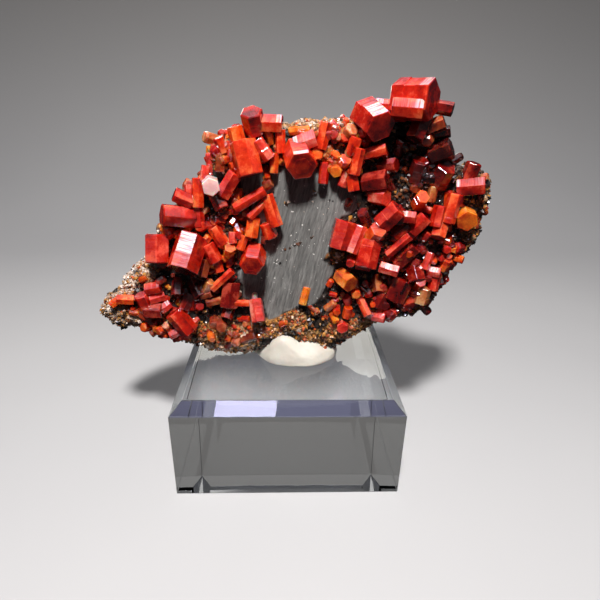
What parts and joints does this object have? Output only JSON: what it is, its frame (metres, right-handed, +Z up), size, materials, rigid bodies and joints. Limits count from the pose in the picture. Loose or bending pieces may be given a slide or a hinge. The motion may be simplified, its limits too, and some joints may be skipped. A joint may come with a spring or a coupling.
{
  "type": "vanadinite crystals on matrix with a display block",
  "caption": "Upright slab of dark rock set with stubby six-sided red crystals, held by putty on a clear square display block with a bevelled top.",
  "frame": {"origin": "centre of the display block's underside", "axes": "+Z up, the specimen's crystal face looks along -Y, +X to the right when looking at that face"},
  "size_m": [0.088, 0.0508, 0.0875],
  "materials": {
    "clear_acrylic": "polished",
    "tack_cream": "satin",
    "dark_rock": "matte",
    "vanadinite_red": "gloss"
  },
  "bodies": {
    "root": {"acrylic_block": "clear_acrylic", "back_crystal_1": "vanadinite_red", "back_crystal_2": "vanadinite_red", "back_crystal_3": "vanadinite_red", "back_crystal_4": "vanadinite_red", "back_crystal_5": "vanadinite_red", "back_crystal_6": "vanadinite_red", "back_crystal_7": "vanadinite_red", "bars_crystals_1": "vanadinite_red", "brow_crystals_4": "vanadinite_red", "brow_crystals_7": "vanadinite_red", "cluster_crystal_6": "vanadinite_red", "cluster_crystals_10": "vanadinite_red", "column_crystal_8": "vanadinite_red", "column_crystals_7": "vanadinite_red", "crown_crystal_5": "vanadinite_red", "crown_crystal_8": "vanadinite_red", "crown_crystals_1": "vanadinite_red", "crown_crystals_9": "vanadinite_red", "flank_crystal_3": "vanadinite_red", "flank_crystal_5": "vanadinite_red", "flank_crystal_6": "vanadinite_red", "flank_crystals_4": "vanadinite_red", "flank_crystals_7": "vanadinite_red", "heel_crystal_1": "vanadinite_red", "heel_crystal_11": "vanadinite_red", "heel_crystal_14": "vanadinite_red", "heel_crystal_2": "vanadinite_red", "heel_crystal_3": "vanadinite_red", "heel_crystal_4": "vanadinite_red", "heel_crystals_5": "vanadinite_red", "heel_crystals_9": "vanadinite_red", "matrix": "dark_rock", "middle_crystal_1": "vanadinite_red", "middle_crystal_2": "vanadinite_red", "middle_crystal_6": "vanadinite_red", "middle_crystal_7": "vanadinite_red", "middle_crystal_8": "vanadinite_red", "middle_crystal_9": "vanadinite_red", "middle_crystals_3": "vanadinite_red", "mineral_tack": "tack_cream", "pit_crystal_1": "vanadinite_red", "pit_crystal_2": "vanadinite_red", "pit_crystal_3": "vanadinite_red", "pit_crystal_5": "vanadinite_red", "pit_crystals_4": "vanadinite_red", "right_crystal_12": "vanadinite_red", "right_crystal_4": "vanadinite_red", "right_crystal_9": "vanadinite_red", "right_crystals_3": "vanadinite_red", "right_crystals_6": "vanadinite_red", "scatter_crystal_1": "vanadinite_red", "scatter_crystal_2": "vanadinite_red", "scatter_crystal_3": "vanadinite_red", "shoulder_crystals_6": "vanadinite_red", "tip_crystals_1": "vanadinite_red", "tip_crystals_2": "vanadinite_red"}
  },
  "joints": []
}
